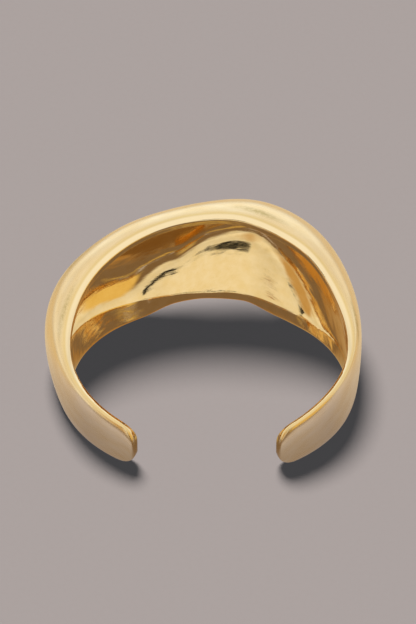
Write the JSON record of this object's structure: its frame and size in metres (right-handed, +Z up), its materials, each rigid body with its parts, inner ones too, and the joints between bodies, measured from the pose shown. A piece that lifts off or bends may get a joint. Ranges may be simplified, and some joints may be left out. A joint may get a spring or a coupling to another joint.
{
  "type": "cuff bracelet",
  "caption": "Open cuff bracelet with a lopsided hollow dome at the front, tapering into plain rounded arms. It slips sideways over the wrist.",
  "frame": {"origin": "middle of the underside of the bracelet's bounding box, on the surface that it lies on", "axes": "the bracelet lies on its side: +Z is up, along the wearer's arm; +Y points from the gap towards the domed front; +X is towards the dome's fuller side"},
  "size_m": [0.0642, 0.0558, 0.0261],
  "materials": {
    "gold": "gold-tone, satin outside and polished inside and on the lips"
  },
  "bodies": {
    "root": {"cuff": "gold"}
  },
  "joints": []
}
